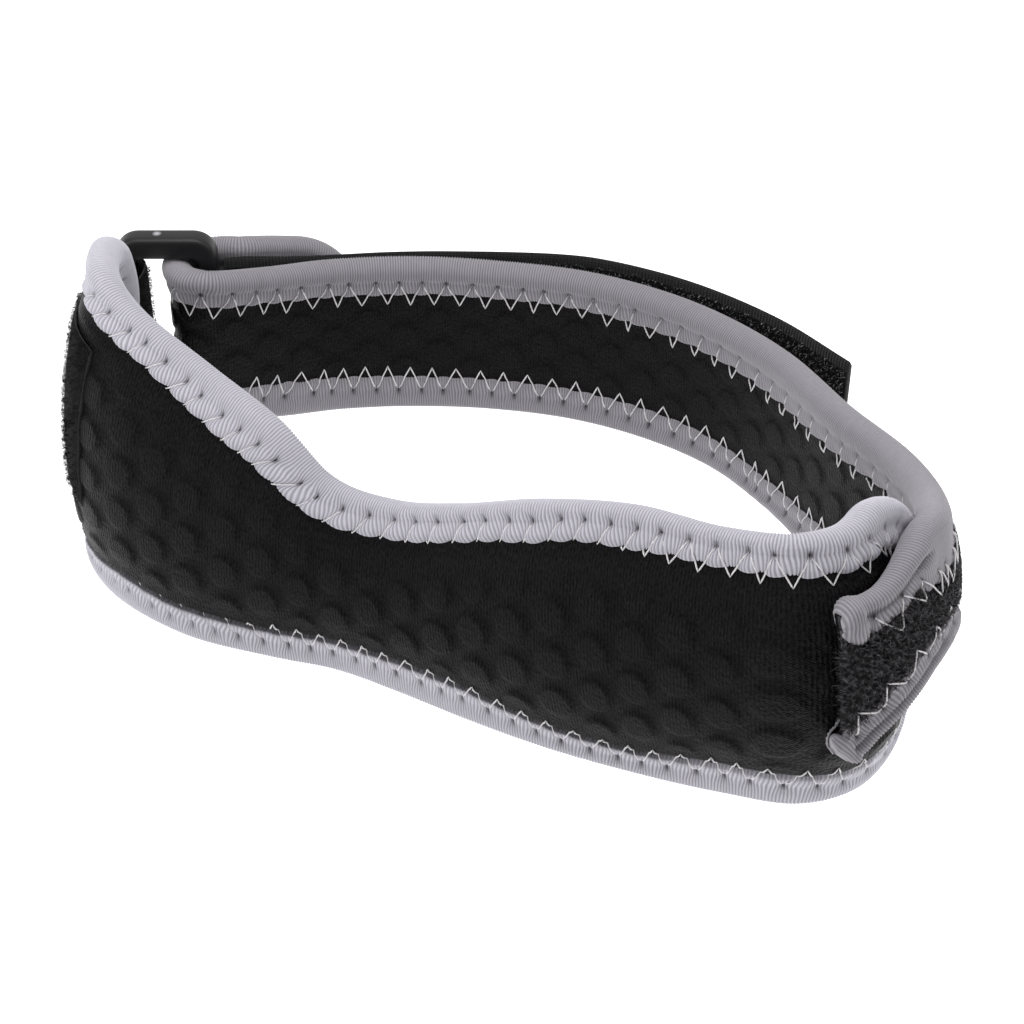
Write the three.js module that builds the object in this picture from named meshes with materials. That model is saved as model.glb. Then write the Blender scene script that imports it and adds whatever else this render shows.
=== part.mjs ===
// Knee support wrap: a padded front panel and a padded back band, closed into a loop that stands on its
// lower edges. Both are bound with a folded knitted tape. A plastic ring joins them on the left, and the
// band's right end is a tab fastened on the panel's outer face. Millimetres, +Z up, the front towards -Y.
import * as THREE from "three";

// Driving dimensions
const panelThick = 3.6; // padded laminate, as pressed by its binding
const bandThick = 3.4;
const strapThick = 2;
const tapeThick = 0.8; // binding tape, one layer
const panelFlap = 7; // how far the panel's tape reaches in from the edge on each face
const bandFlap = 6; // the same on the band
const tapeRoll = 2; // how far the fold of the tape stands past the edge
const tapeGap = 0.3; // gap between the tape and what it binds
const clearance = 0.4; // gap between other pieces that touch on the real wrap
const flapLoose = 2.4; // how far the folded flap stands off the strap inside it
const standHeight = 1.8; // height of the panel's lower edge, over the flattened tape
const wingCorner = 13; // corner radius of the panel's wings
const flapCorner = 12; // corner radius of the band's folded flap
const columnStep = 6.5; // widest spacing of the upright sections along a wall
const columnTurn = THREE.MathUtils.degToRad(17); // most that a wall turns between two sections
const ring = {
  along: 22,
  tall: 48.6,
  thick: 5.4,
  upright: 3.8,
  rail: 5.2,
  corner: 5,
  slotCorner: 2,
  edge: 1.3,
};
const ringPlace = { x: -71.5, y: 52.3, z: 25 };
const bandWrap = 4.4; // inner radius of the band where it wraps round the ring's right upright
const strapWrap = 3.2; // the same for the pile strap on the left upright
const wallShares = [0, 0.17, 0.34, 0.5, 0.66, 0.83, 1]; // points up a padded section
const strapShares = [0, 0.25, 0.5, 0.75, 1]; // points up a strap's section
const turnShares = [0, 0.25, 0.5, 0.75, 1]; // rows on a half turn
const stepsPerRow = 24; // straight steps between two rows in which a wall's length is measured
const nudge = 0.5; // how far to each side a wall's direction is looked for
const nudgeShare = 0.004; // the same as a share of the wall's rows
const foldReach = 0.8; // where the tape's fold is drawn: share of its depth, and of its half thickness
const foldSide = 0.58;
const pileFromEnd = [14, 18, 22, 26, 30]; // where the pile strap lies on the panel, from its left end
const pileEdges = { low: 0.29, high: 0.83 }; // as shares of the panel's height

// The front panel, one row per upright section from its left end to its right end. The foot and the head
// are the panel's lower and upper edges, and the bulge is how far the section bows out between them.
const panelTable = [
  { footX: -78, footY: 25, headX: -76, headY: 33, headZ: 58.5, bulge: 1.5 },
  { footX: -82, footY: 18.5, headX: -77, headY: 27.5, headZ: 61.8, bulge: 2.5 },
  { footX: -84, footY: 11, headX: -77.8, headY: 20.5, headZ: 63.5, bulge: 3.3 },
  { footX: -82.5, footY: 1.5, headX: -76.5, headY: 11.5, headZ: 63.5, bulge: 4.5 },
  { footX: -76, footY: -9, headX: -70.5, headY: 4, headZ: 59.5, bulge: 5.8 },
  { footX: -61, footY: -20.5, headX: -55.5, headY: -6, headZ: 52, bulge: 5.8 },
  { footX: -44, footY: -26.8, headX: -42, headY: -16, headZ: 46.5, bulge: 5.2 },
  { footX: -30, footY: -30.8, headX: -31, headY: -23.5, headZ: 38, bulge: 4.4 },
  { footX: -17, footY: -37.5, headX: -18.5, headY: -29, headZ: 36.8, bulge: 4.2 },
  { footX: -4, footY: -45, headX: -6, headY: -35, headZ: 40.6, bulge: 5 },
  { footX: 12, footY: -53.2, headX: 9.5, headY: -42, headZ: 47.1, bulge: 6.2 },
  { footX: 28, footY: -59.6, headX: 25.5, headY: -49, headZ: 51.2, bulge: 6.8 },
  { footX: 43, footY: -64.4, headX: 40, headY: -57, headZ: 52.6, bulge: 7 },
  { footX: 56, footY: -67.2, headX: 52, headY: -61.5, headZ: 54.6, bulge: 7 },
  { footX: 65.5, footY: -64, headX: 60.5, headY: -59, headZ: 54.8, bulge: 6.3 },
  { footX: 72, footY: -56.5, headX: 65.8, headY: -53, headZ: 55.6, bulge: 5 },
  { footX: 76.3, footY: -46.3, headX: 70.5, headY: -45, headZ: 56, bulge: 3.5 },
];

// The band's tab, one row per section of the panel that it lies on: how far that is from the panel's right
// end, how far the middle of the tab lies off the middle of the panel, and the tab's lower and upper edges
// as shares of the panel's height.
const tabTable = [
  { fromEnd: 25, lift: 5.5, low: 0.305, high: 0.805 },
  { fromEnd: 19, lift: 6, low: 0.44, high: 0.825 },
  { fromEnd: 13, lift: 6.4, low: 0.5, high: 0.865 },
  { fromEnd: 7, lift: 6.6, low: 0.5, high: 0.88 },
  { fromEnd: 2, lift: 6.8, low: 0.475, high: 0.87 },
];

// The back band, one row per upright section from its tab, round the back, to the ring.
const bandTable = [
  { footX: 85, footY: -33, footZ: 15.8, headX: 79.6, headY: -36, headZ: 46, bulge: 2 },
  { footX: 79, footY: -16.3, footZ: 9.5, headX: 77, headY: -20.3, headZ: 42.4, bulge: 1 },
  { footX: 70.2, footY: -1.4, footZ: 4.5, headX: 68.7, headY: -1, headZ: 39.2, bulge: 1 },
  { footX: 60.5, footY: 19.3, footZ: 2.4, headX: 59, headY: 21.3, headZ: 37, bulge: 1 },
  { footX: 50, footY: 35.5, footZ: 1.3, headX: 48.5, headY: 35.5, headZ: 36, bulge: 1 },
  { footX: 36.5, footY: 46, footZ: 1.3, headX: 36.5, headY: 46, headZ: 35.6, bulge: 1 },
  { footX: 19, footY: 54.4, footZ: 1.3, headX: 19, headY: 54.8, headZ: 35.6, bulge: 1 },
  { footX: 0, footY: 58.8, footZ: 1.3, headX: 0, headY: 58.8, headZ: 35.8, bulge: 1 },
  { footX: -18, footY: 60, footZ: 1.3, headX: -18, headY: 60, headZ: 36.2, bulge: 1 },
  { footX: -36, footY: 57.5, footZ: 2.4, headX: -36, headY: 57.5, headZ: 37, bulge: 0.8 },
  { footX: -50, footY: 51, footZ: 5, headX: -50, headY: 51, headZ: 39, bulge: 0.4 },
];

// The band's folded flap, one row per section of the band that it lies beside: how far that is from the
// ring, and the flap's lower and upper edges as shares of the band's height.
const flapTable = [
  { fromRing: 12, low: 0.04, high: 1.06 },
  { fromRing: 19, low: 0.04, high: 1.04 },
  { fromRing: 26, low: 0.04, high: 1 },
  { fromRing: 34, low: 0.04, high: 0.98 },
];

// The hook strap's free stretch, from its cut end to where it meets the band.
const hookTable = [
  { x: 73.5, y: 20.5, low: 1.5, high: 37.5 },
  { x: 60, y: 37.5, low: 1.5, high: 37.5 },
  { x: 42.5, y: 52, low: 1.5, high: 37.5 },
  { x: 24, y: 61.2, low: 1.5, high: 37.5 },
  { x: 14, y: 63.5, low: 1.5, high: 37.5 },
];

// The hook strap's stretch beside the band, as for the flap.
const hookLaidTable = [
  { fromRing: 54, low: 0.01, high: 1.04 },
  { fromRing: 42, low: 0.01, high: 1.03 },
  { fromRing: 32, low: 0.01, high: 1.03 },
  { fromRing: 24, low: 0.01, high: 1.05 },
  { fromRing: 17, low: 0.01, high: 1.08 },
  { fromRing: 11, low: 0.01, high: 1.1 },
  { fromRing: 6, low: 0.01, high: 1.1 },
];

// The pile strap's loose stretches: from its inner end to the ring, and from the ring to the panel.
const pileTable = {
  inner: [
    { x: -85, y: 36.6, low: 8.5, high: 41.5 },
    { x: -81.4, y: 39.6, low: 8.5, high: 41.5 },
    { x: -77.6, y: 45.3, low: 8.5, high: 41.5 },
  ],
  ring: { low: 8.5, high: 41.5 },
  outer: [{ x: -87, y: 38, low: 11.5, high: 44.5 }],
};

const matte = (color, roughness) => new THREE.MeshStandardMaterial({ color, roughness, metalness: 0 });
const laminate = matte(0x1b1b1d, 0.9);
const knit = matte(0xb9b8be, 0.95);
const pile = matte(0x111112, 1);
const plastic = matte(0x242426, 0.5);

const tableRow = (row) => ({
  foot: new THREE.Vector3(row.footX, row.footY, row.footZ ?? standHeight),
  head: new THREE.Vector3(row.headX, row.headY, row.headZ),
  bulge: row.bulge,
});

const uprightRow = ({ x, y, low, high }) => ({
  foot: new THREE.Vector3(x, y, low),
  head: new THREE.Vector3(x, y, high),
  bulge: 0,
});

// A curved wall's middle surface, through upright rows. A place on it is given by a, the distance along
// the wall at half height, and b, the distance up the row there.
function curvedWall(rows) {
  const feet = new THREE.CatmullRomCurve3(rows.map((row) => row.foot));
  const heads = new THREE.CatmullRomCurve3(rows.map((row) => row.head));
  const bulges = new THREE.CatmullRomCurve3(rows.map((row) => new THREE.Vector3(row.bulge, 0, 0)));
  const chord = (t, v) => feet.getPoint(t).lerp(heads.getPoint(t), v);
  const steps = stepsPerRow * rows.length;
  const reach = [0];
  for (let k = 1; k <= steps; k += 1) {
    const stride = chord(k / steps, 0.5).distanceTo(chord((k - 1) / steps, 0.5));
    reach.push(reach[k - 1] + stride);
  }
  const length = reach[steps];
  const shareAt = (a) => {
    const wanted = THREE.MathUtils.clamp(a, 0, length);
    const k = Math.min(reach.findIndex((far) => far >= wanted), steps) || 1;
    return (k - 1 + (wanted - reach[k - 1]) / (reach[k] - reach[k - 1])) / steps;
  };
  const height = (a) => chord(shareAt(a), 0).distanceTo(chord(shareAt(a), 1));
  const outward = (t) => {
    const near = Math.max(t - nudgeShare, 0);
    const far = Math.min(t + nudgeShare, 1);
    const along = chord(far, 0.5).sub(chord(near, 0.5));
    return along.cross(chord(t, 1).sub(chord(t, 0))).normalize();
  };
  const point = (a, b) => {
    const t = shareAt(a);
    const v = b / height(a);
    const bow = bulges.getPoint(t).x * 4 * v * (1 - v);
    return chord(t, v).addScaledVector(outward(t), bow);
  };
  const normal = (a, b) => {
    const near = Math.max(a - nudge, 0);
    const far = Math.min(a + nudge, length);
    const share = b / height(a);
    const along = point(far, share * height(far)).sub(point(near, share * height(near)));
    return along.cross(point(a, b + nudge).sub(point(a, b - nudge))).normalize();
  };
  const lifted = (a, b, lift) => point(a, b).addScaledVector(normal(a, b), lift);
  return { length, height, point, normal, lifted };
}

// A closed solid through stations, each an outer and an inner chain of as many points. The ends are
// capped unless the stations close into a ring.
function sweep(stations, closed) {
  const chain = stations[0].outer.length;
  const around = 2 * chain;
  const points = stations.flatMap((station) => [...station.outer, ...[...station.inner].reverse()]);
  const faces = [];
  const quad = (p, q, r, s) => faces.push([p, q, r], [p, r, s]);
  const spans = closed ? stations.length : stations.length - 1;
  for (let i = 0; i < spans; i += 1) {
    const here = i * around;
    const next = ((i + 1) % stations.length) * around;
    for (let j = 0; j < around; j += 1) {
      const k = (j + 1) % around;
      quad(here + j, next + j, next + k, here + k);
    }
  }
  const last = (stations.length - 1) * around;
  for (let j = 0; j < chain - 1 && !closed; j += 1) {
    const back = around - 1 - j;
    quad(j, j + 1, back - 1, back);
    quad(last + back, last + back - 1, last + j + 1, last + j);
  }
  const volume = faces.reduce((sum, [p, q, r]) => {
    return sum + points[p].dot(new THREE.Vector3().crossVectors(points[q], points[r]));
  }, 0);
  const outFacing = volume > 0 ? faces : faces.map(([p, q, r]) => [p, r, q]);
  const geometry = new THREE.BufferGeometry().setFromPoints(points);
  geometry.setIndex(outFacing.flat());
  return geometry;
}

// Distances along a wall at which it gets a section: close together in rounded end corners and where the
// wall turns, wider apart elsewhere.
function columnsOf(wall, startCorner, endCorner) {
  const cornerSteps = 6;
  const scan = 0.5;
  const arc = (radius) => {
    const shares = Array.from({ length: cornerSteps }, (_, k) => k / cornerSteps);
    return radius > 0 ? shares.map((share) => radius * (1 - Math.cos((share * Math.PI) / 2))) : [0];
  };
  const columns = [...arc(startCorner), startCorner || columnStep];
  const facing = (a) => wall.normal(a, wall.height(a) / 2);
  let last = columns.at(-1);
  for (let a = last; a < wall.length - endCorner - 2 * scan; a += scan) {
    if (a - last >= columnStep || facing(a).angleTo(facing(last)) >= columnTurn) {
      columns.push(a);
      last = a;
    }
  }
  const endArc = arc(endCorner).map((d) => wall.length - d).reverse();
  return [...columns, ...(endCorner ? [wall.length - endCorner] : []), ...endArc];
}

// How far a rounded end corner cuts in from the wall's lower or upper edge at distance a.
function cornerCut(wall, a, startCorner, endCorner) {
  const cut = (radius, distance) => {
    const short = Math.max(radius - distance, 0);
    return radius - Math.sqrt(Math.max(radius * radius - short * short, 0));
  };
  return Math.max(cut(startCorner, a), cut(endCorner, wall.length - a));
}

// The padded body of a wall, between rounded end corners.
function wallBody(wall, thick, startCorner, endCorner) {
  const stations = columnsOf(wall, startCorner, endCorner).map((a) => {
    const cut = cornerCut(wall, a, startCorner, endCorner);
    const tall = wall.height(a) - 2 * cut;
    const side = (lift) => wallShares.map((share) => wall.lifted(a, cut + share * tall, lift));
    return { outer: side(thick / 2), inner: side(-thick / 2) };
  });
  return sweep(stations, false);
}

// A wall's edge as places {a, b} with the direction {ia, ib} that points into the wall. It runs along the
// lower edge, round the far end and back along the upper edge, and round the near end if that is bound.
function edgeRoute(wall, startCorner, endCorner, nearEndBound) {
  const columns = columnsOf(wall, startCorner, endCorner);
  const { length } = wall;
  const inwardAt = (a) => {
    const start = Math.max(startCorner - a, 0) / (startCorner || 1);
    const end = Math.max(endCorner - (length - a), 0) / (endCorner || 1);
    const ia = start - end;
    return { ia, ib: Math.sqrt(Math.max(1 - ia * ia, 0)) };
  };
  const lower = columns.map((a) => {
    const { ia, ib } = inwardAt(a);
    return { a, b: cornerCut(wall, a, startCorner, endCorner), ia, ib };
  });
  const upper = lower.map(({ a, b, ia, ib }) => ({ a, b: wall.height(a) - b, ia, ib: -ib })).reverse();
  const endShares = wallShares.slice(1, -1);
  const endRun = (a, corner, ia) => {
    const tall = wall.height(a) - 2 * corner;
    return endShares.map((share) => ({ a, b: corner + share * tall, ia, ib: 0 }));
  };
  const farEnd = endRun(length, endCorner, -1);
  const nearEnd = nearEndBound ? endRun(0, startCorner, 1).reverse() : [];
  return [...lower, ...farEnd, ...upper, ...nearEnd];
}

// Binding tape folded over an edge: a flap on each face and a rounded fold past the edge. Where it rests
// on the table it is pressed flat.
function boundEdge(wall, thick, flap, route, closed) {
  const inside = thick / 2 + tapeGap;
  const outside = inside + tapeThick;
  const outerChain = [
    { past: -flap, lift: outside },
    { past: -flap / 2, lift: outside },
    { past: 0, lift: outside },
    { past: foldReach * tapeRoll, lift: foldSide * outside },
    { past: foldReach * tapeRoll, lift: -foldSide * outside },
    { past: 0, lift: -outside },
    { past: -flap / 2, lift: -outside },
    { past: -flap, lift: -outside },
  ];
  const innerChain = [
    { past: -flap, lift: inside },
    { past: -flap / 2, lift: inside },
    { past: tapeGap, lift: inside },
    { past: tapeGap, lift: foldSide * inside },
    { past: tapeGap, lift: -foldSide * inside },
    { past: tapeGap, lift: -inside },
    { past: -flap / 2, lift: -inside },
    { past: -flap, lift: -inside },
  ];
  const stations = route.map(({ a, b, ia, ib }) => {
    const into = (depth) => wall.point(a + ia * depth, b + ib * depth);
    const outward = into(0).sub(into(1)).normalize();
    const place = ({ past, lift }) => {
      const depth = Math.max(-past, 0);
      const spot = wall.lifted(a + ia * depth, b + ib * depth, lift);
      spot.addScaledVector(outward, Math.max(past, 0));
      return spot.setZ(Math.max(spot.z, 0));
    };
    return { outer: outerChain.map(place), inner: innerChain.map(place) };
  });
  return sweep(stations, closed);
}

// A flat strap of one thickness along upright rows.
function strap(rows) {
  const wall = curvedWall(rows);
  const stations = columnsOf(wall, 0, 0).map((a) => {
    const side = (lift) => strapShares.map((share) => wall.lifted(a, share * wall.height(a), lift));
    return { outer: side(strapThick / 2), inner: side(-strapThick / 2) };
  });
  return sweep(stations, false);
}

// A row that lies beside a wall, off its middle by the lift, between two shares of its height.
function besideRow(wall, a, lift, { low, high }) {
  const at = (share) => wall.lifted(a, share * wall.height(a), lift);
  const foot = at(low);
  const head = at(high);
  const bulge = at((low + high) / 2).distanceTo(foot.clone().lerp(head, 0.5));
  return { foot, head, bulge };
}

// Places on a half turn round one of the ring's uprights, from one side of it to the other.
function halfTurn(centreX, radius, fromAngle, toAngle) {
  return turnShares.map((share) => {
    const angle = THREE.MathUtils.degToRad(fromAngle + (toAngle - fromAngle) * share);
    return { x: centreX + radius * Math.cos(angle), y: ringPlace.y + radius * Math.sin(angle) };
  });
}

// A rounded rectangle, drawn on a shape or on a hole's path.
function roundedOutline(path, wide, tall, radius) {
  const w = wide / 2 - radius;
  const h = tall / 2 - radius;
  path.absarc(w, h, radius, 0, Math.PI / 2);
  path.absarc(-w, h, radius, Math.PI / 2, Math.PI);
  path.absarc(-w, -h, radius, Math.PI, 1.5 * Math.PI);
  path.absarc(w, -h, radius, 1.5 * Math.PI, 2 * Math.PI);
  path.closePath();
  return path;
}

function ringGeometry() {
  const { along, tall, thick, upright, rail, corner, slotCorner, edge } = ring;
  const shape = roundedOutline(new THREE.Shape(), along - 2 * edge, tall - 2 * edge, corner - edge);
  const slotWide = along - 2 * upright + 2 * edge;
  const slotTall = tall - 2 * rail + 2 * edge;
  shape.holes.push(roundedOutline(new THREE.Path(), slotWide, slotTall, slotCorner));
  const geometry = new THREE.ExtrudeGeometry(shape, {
    depth: thick - 2 * edge,
    bevelThickness: edge,
    bevelSize: edge,
    bevelSegments: 2,
    curveSegments: 3,
  });
  geometry.translate(0, 0, edge - thick / 2);
  geometry.rotateX(Math.PI / 2);
  return geometry;
}

// The panel
const panel = curvedWall(panelTable.map(tableRow));
const panelRoute = edgeRoute(panel, wingCorner, wingCorner, true);

// The band: a tab on the panel, along the back, round the ring's right upright, and back as a flap
const boundHalf = bandThick / 2 + tapeGap + tapeThick;
const rightUpright = ringPlace.x + ring.along / 2 - ring.upright / 2;
const ringLow = ringPlace.z - ring.tall / 2 + ring.rail + clearance + tapeRoll;
const ringHigh = ringPlace.z + ring.tall / 2 - ring.rail - clearance - tapeRoll;
const tabRows = tabTable.map((row) => besideRow(panel, panel.length - row.fromEnd, row.lift, row));
const turnRows = halfTurn(rightUpright, bandWrap + boundHalf, -90, -270).map((place) => {
  return uprightRow({ ...place, low: ringLow, high: ringHigh });
});
const layerRows = [...tabRows, ...bandTable.map(tableRow)];
const innerLayer = curvedWall([...layerRows, turnRows[0]]);
const strapLift = boundHalf + clearance + strapThick / 2;
const flapLift = strapLift + strapThick / 2 + flapLoose + boundHalf;
const besideBand = (lift) => (row) => besideRow(innerLayer, innerLayer.length - row.fromRing, lift, row);
const flapRows = flapTable.map(besideBand(flapLift));
const band = curvedWall([...layerRows, ...turnRows, ...flapRows]);
const bandRoute = edgeRoute(band, 0, flapCorner, false);

// The hook strap: from its cut end, free of the band, then along it and into the flap
const hookRows = [...hookTable.map(uprightRow), ...hookLaidTable.map(besideBand(strapLift))];

// The pile strap: from its inner end, round the ring's left upright and onto the panel's outer face
const leftUpright = ringPlace.x - ring.along / 2 + ring.upright / 2;
const sewnLift = panelThick / 2 + clearance + strapThick / 2;
const pileTurn = halfTurn(leftUpright, strapWrap + strapThick / 2, 0, 180);
const pileRows = [
  ...pileTable.inner.map(uprightRow),
  ...pileTurn.map((place) => uprightRow({ ...place, ...pileTable.ring })),
  ...pileTable.outer.map(uprightRow),
  ...pileFromEnd.map((a) => besideRow(panel, a, sewnLift, pileEdges)),
];

const pieces = {
  front_panel: [wallBody(panel, panelThick, wingCorner, wingCorner), laminate],
  front_binding: [boundEdge(panel, panelThick, panelFlap, panelRoute, true), knit],
  back_band: [wallBody(band, bandThick, 0, flapCorner), laminate],
  back_binding: [boundEdge(band, bandThick, bandFlap, bandRoute, false), knit],
  hook_strap: [strap(hookRows), pile],
  ring_strap: [strap(pileRows), pile],
  ring: [ringGeometry(), plastic],
};

const wrap = new THREE.Group();
for (const [name, [geometry, material]] of Object.entries(pieces)) {
  const mesh = new THREE.Mesh(geometry, material.clone());
  mesh.name = name;
  wrap.add(mesh);
}
wrap.getObjectByName("ring").position.set(ringPlace.x, ringPlace.y, ringPlace.z);

// The origin lies under the middle of the whole wrap
const middle = new THREE.Box3().setFromObject(wrap, true).getCenter(new THREE.Vector3());
wrap.position.set(-middle.x, -middle.y, 0);

export default wrap;
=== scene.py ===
import math
from functools import partialmethod

import bmesh
import bpy
import numpy as np
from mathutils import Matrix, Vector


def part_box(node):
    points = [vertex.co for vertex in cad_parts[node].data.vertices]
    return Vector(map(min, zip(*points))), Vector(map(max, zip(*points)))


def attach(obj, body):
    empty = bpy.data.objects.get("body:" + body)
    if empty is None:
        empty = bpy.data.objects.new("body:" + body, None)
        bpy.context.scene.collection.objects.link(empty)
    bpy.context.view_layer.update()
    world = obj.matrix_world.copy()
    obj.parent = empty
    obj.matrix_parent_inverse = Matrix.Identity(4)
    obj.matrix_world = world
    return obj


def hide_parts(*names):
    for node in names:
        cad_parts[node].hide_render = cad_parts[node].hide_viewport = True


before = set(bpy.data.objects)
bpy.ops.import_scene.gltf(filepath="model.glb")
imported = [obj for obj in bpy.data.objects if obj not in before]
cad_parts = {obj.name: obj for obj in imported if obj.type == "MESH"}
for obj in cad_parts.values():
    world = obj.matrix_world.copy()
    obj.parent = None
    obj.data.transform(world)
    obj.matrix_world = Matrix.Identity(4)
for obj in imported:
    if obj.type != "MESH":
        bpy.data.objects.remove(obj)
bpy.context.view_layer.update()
rng = np.random.default_rng(11)

# Dimensions, as in the part's source
PANEL_THICK = 3.6
BAND_THICK = 3.4
STRAP_THICK = 2.0
TAPE_THICK = 0.8
TAPE_GAP = 0.3
CLEARANCE = 0.4
FLAP_LOOSE = 2.4
STAND_HEIGHT = 1.8
TAPE_ROLL = 2.0
WING_CORNER = 13.0
FLAP_CORNER = 12.0
RING = {
    "along": 22.0, "tall": 48.6, "thick": 5.4, "upright": 3.8, "rail": 5.2,
    "corner": 5.0, "slot_corner": 2.0,
}
RING_PLACE = np.array([-71.5, 52.3, 25.0])
BAND_WRAP = 4.4
STRAP_WRAP = 3.2
PILE_LOW, PILE_HIGH = 8.5, 41.5  # heights of the pile strap's edges at the ring
SEWN_LOW, SEWN_HIGH = 0.29, 0.83  # shares of the panel's height between which it is sewn
SEWN_PLACES = (14, 18, 22, 26, 30)  # distances along the panel at which it is sewn

# Cloth, tape and thread
DISC_ACROSS = 8.0  # spacing of the disc columns
DISC_UP = 8.7  # spacing of the discs in a column
DISC_RADIUS = 3.7
DISC_HEIGHT = 0.5
DISC_EDGE = 0.95  # width of a disc's sloping edge
CLOTH_FLOOR = 0.3  # least height of the padding and the straps
TAPE_FLOOR = 0.02  # least height of the tape and its thread
RIB = 0.58  # spacing of the tape's knit ribs
RIB_HEIGHT = 0.15
RIB_SHADE = 0.56  # how much darker the knit is between its ribs
CAP_PAST = 0.2  # how far a folded tape end stands past the cloth's cut end
CAP_CLOSE = 3  # length over which it closes
CAP_RISE = 1.0  # how far it bulges
CREASE = 1.5  # depth of the fold under the tab tape's roll
THREAD = 0.17  # radius of the stitching thread
RING_MARK = np.array([-73.2, 52.6, 49.3])  # a pale moulding mark on the ring's top
MARK_RADIUS = 1.1

# The panel's upright sections: foot x, foot y, head x, head y, head z, bulge
PANEL_TABLE = [
    (-78, 25, -76, 33, 58.5, 1.5),
    (-82, 18.5, -77, 27.5, 61.8, 2.5),
    (-84, 11, -77.8, 20.5, 63.5, 3.3),
    (-82.5, 1.5, -76.5, 11.5, 63.5, 4.5),
    (-76, -9, -70.5, 4, 59.5, 5.8),
    (-61, -20.5, -55.5, -6, 52, 5.8),
    (-44, -26.8, -42, -16, 46.5, 5.2),
    (-30, -30.8, -31, -23.5, 38, 4.4),
    (-17, -37.5, -18.5, -29, 36.8, 4.2),
    (-4, -45, -6, -35, 40.6, 5),
    (12, -53.2, 9.5, -42, 47.1, 6.2),
    (28, -59.6, 25.5, -49, 51.2, 6.8),
    (43, -64.4, 40, -57, 52.6, 7),
    (56, -67.2, 52, -61.5, 54.6, 7),
    (65.5, -64, 60.5, -59, 54.8, 6.3),
    (72, -56.5, 65.8, -53, 55.6, 5),
    (76.3, -46.3, 70.5, -45, 56, 3.5),
]
# The tab on the panel: distance from the panel's right end, lift, lower and upper share of its height
TAB_TABLE = [
    (25, 5.5, 0.305, 0.805),
    (19, 6, 0.44, 0.825),
    (13, 6.4, 0.5, 0.865),
    (7, 6.6, 0.5, 0.88),
    (2, 6.8, 0.475, 0.87),
]
# The band's upright sections: foot x, y, z, head x, y, z, bulge
BAND_TABLE = [
    (85, -33, 15.8, 79.6, -36, 46, 2),
    (79, -16.3, 9.5, 77, -20.3, 42.4, 1),
    (70.2, -1.4, 4.5, 68.7, -1, 39.2, 1),
    (60.5, 19.3, 2.4, 59, 21.3, 37, 1),
    (50, 35.5, 1.3, 48.5, 35.5, 36, 1),
    (36.5, 46, 1.3, 36.5, 46, 35.6, 1),
    (19, 54.4, 1.3, 19, 54.8, 35.6, 1),
    (0, 58.8, 1.3, 0, 58.8, 35.8, 1),
    (-18, 60, 1.3, -18, 60, 36.2, 1),
    (-36, 57.5, 2.4, -36, 57.5, 37, 0.8),
    (-50, 51, 5, -50, 51, 39, 0.4),
]
# The flap beside the band: distance from the ring, lower and upper share of the band's height
FLAP_TABLE = [(12, 0.04, 1.06), (19, 0.04, 1.04), (26, 0.04, 1), (34, 0.04, 0.98)]
# The hook strap's free stretch: x, y
HOOK_TABLE = [(73.5, 20.5), (60, 37.5), (42.5, 52), (24, 61.2), (14, 63.5)]
HOOK_FOOT, HOOK_HEAD = 1.5, 37.5  # heights of its edges there
# The hook strap beside the band, as for the flap
HOOK_LAID = [
    (54, 0.01, 1.04),
    (42, 0.01, 1.03),
    (32, 0.01, 1.03),
    (24, 0.01, 1.05),
    (17, 0.01, 1.08),
    (11, 0.01, 1.1),
    (6, 0.01, 1.1),
]
# The pile strap's loose stretches: x, y, low, high
PILE_INNER = [(x, y, PILE_LOW, PILE_HIGH) for x, y in ((-85, 36.6), (-81.4, 39.6), (-77.6, 45.3))]
PILE_OUTER = [(-87, 38, 11.5, 44.5)]

ring_low, ring_high = (np.array(corner) * 1000 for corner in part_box("ring"))
SHIFT = (ring_low + ring_high) / 2 - RING_PLACE


def unit(v):
    return v / np.maximum(np.linalg.norm(v, axis=-1, keepdims=True), 1e-9)


def smooth(x):
    x = np.clip(x, 0, 1)
    return x * x * (3 - 2 * x)


def ease(x, start, wide):
    """A smooth rise from 0 to 1 that begins at start."""
    return smooth((x - start) / wide)


def spline(points, t):
    """A centripetal Catmull-Rom curve through points, at shares t of its spans."""
    count = len(points)
    place = np.clip(t, 0, 1) * (count - 1)
    i = np.minimum(place.astype(int), count - 2)
    w = (place - i)[:, None]
    padded = np.vstack([2 * points[0] - points[1], points, 2 * points[-1] - points[-2]])
    p0, p1, p2, p3 = (padded[i + k] for k in range(4))
    gap = lambda p, q: np.sum((q - p) ** 2, axis=1, keepdims=True) ** 0.25
    d0, d1, d2 = gap(p0, p1), gap(p1, p2), gap(p2, p3)
    d1 = np.where(d1 < 1e-4, 1, d1)
    d0 = np.where(d0 < 1e-4, d1, d0)
    d2 = np.where(d2 < 1e-4, d1, d2)
    t1 = ((p1 - p0) / d0 - (p2 - p0) / (d0 + d1) + (p2 - p1) / d1) * d1
    t2 = ((p2 - p1) / d1 - (p3 - p1) / (d1 + d2) + (p3 - p2) / d2) * d1
    return p1 + t1 * w + (3 * p2 - 3 * p1 - 2 * t1 - t2) * w**2 + (2 * p1 - 2 * p2 + t1 + t2) * w**3


# Walls
PROBE = 0.5  # distance to each side over which directions are measured


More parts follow.
